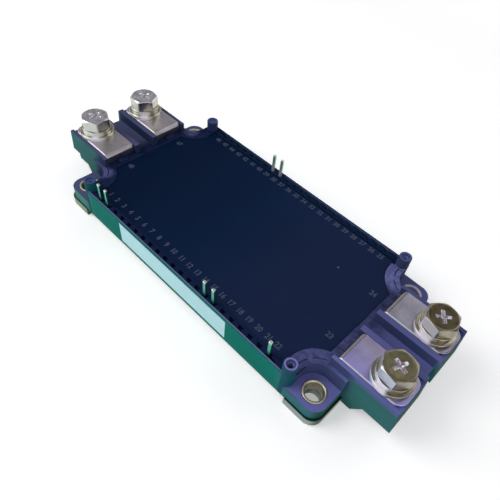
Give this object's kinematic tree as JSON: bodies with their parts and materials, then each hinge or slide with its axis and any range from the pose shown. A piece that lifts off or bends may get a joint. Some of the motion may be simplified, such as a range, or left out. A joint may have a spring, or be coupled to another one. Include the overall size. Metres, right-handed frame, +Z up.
{
  "type": "igbt module",
  "caption": "Flat half-bridge power module with a metal baseplate, dark moulded frame, bolted terminals at both ends, upright control pins and hollow board posts.",
  "frame": {"origin": "centre of the baseplate's underside", "axes": "+X along the module from the DC end to the AC end, +Y across it from the row of pin 1 to the other row, +Z up from the heatsink face"},
  "size_m": [0.1532, 0.062, 0.0242],
  "materials": {
    "nickel_plate": "satin nickel plating over a copper plate",
    "frame_plastic": "matt dark moulded plastic",
    "lid_plastic": "fine matt dark moulded plastic",
    "bushing_metal": "bare bronze, dull",
    "busbar_nickel": "satin nickel plating over copper",
    "zinc_steel": "zinc-plated steel",
    "pin_tin": "tin-plated copper alloy",
    "label_film": "pale satin film",
    "substrate_ceramic": "white ceramic with bonded copper tracks",
    "chip_silicon": "dark silicon with a metallised face",
    "ribbon_aluminium": "bare aluminium ribbon",
    "resistor_body": "dark chip parts",
    "gel": "clear soft silicone gel"
  },
  "bodies": {
    "root": {"baseplate": "nickel_plate", "housing": "frame_plastic", "lid": "lid_plastic", "bushing_dc_near": "bushing_metal", "bushing_dc_far": "bushing_metal", "bushing_ac_near": "bushing_metal", "bushing_ac_far": "bushing_metal", "busbar_dc_minus": "busbar_nickel", "busbar_dc_plus": "busbar_nickel", "busbar_ac": "busbar_nickel", "nut_dc_minus": "zinc_steel", "nut_dc_plus": "zinc_steel", "nut_ac_near": "zinc_steel", "nut_ac_far": "zinc_steel", "flat_washer_dc_minus": "zinc_steel", "flat_washer_dc_plus": "zinc_steel", "flat_washer_ac_near": "zinc_steel", "flat_washer_ac_far": "zinc_steel", "spring_washer_dc_minus": "zinc_steel", "spring_washer_dc_plus": "zinc_steel", "spring_washer_ac_near": "zinc_steel", "spring_washer_ac_far": "zinc_steel", "bolt_dc_minus": "zinc_steel", "bolt_dc_plus": "zinc_steel", "bolt_ac_near": "zinc_steel", "bolt_ac_far": "zinc_steel", "pin_1": "pin_tin", "pin_2": "pin_tin", "pin_15": "pin_tin", "pin_16": "pin_tin", "pin_22": "pin_tin", "pin_38": "pin_tin", "pin_39": "pin_tin", "side_label": "label_film", "substrate_1": "substrate_ceramic", "substrate_2": "substrate_ceramic", "substrate_3": "substrate_ceramic", "igbt_high_1": "chip_silicon", "igbt_high_2": "chip_silicon", "igbt_high_3": "chip_silicon", "igbt_low_1": "chip_silicon", "igbt_low_2": "chip_silicon", "igbt_low_3": "chip_silicon", "diode_high_1": "chip_silicon", "diode_high_2": "chip_silicon", "diode_high_3": "chip_silicon", "diode_low_1": "chip_silicon", "diode_low_2": "chip_silicon", "diode_low_3": "chip_silicon", "bond_ribbons_1": "ribbon_aluminium", "bond_ribbons_2": "ribbon_aluminium", "bond_ribbons_3": "ribbon_aluminium", "signal_ribbons": "ribbon_aluminium", "gate_resistors": "resistor_body", "thermistor": "resistor_body", "silicone_gel": "gel"}
  },
  "joints": []
}
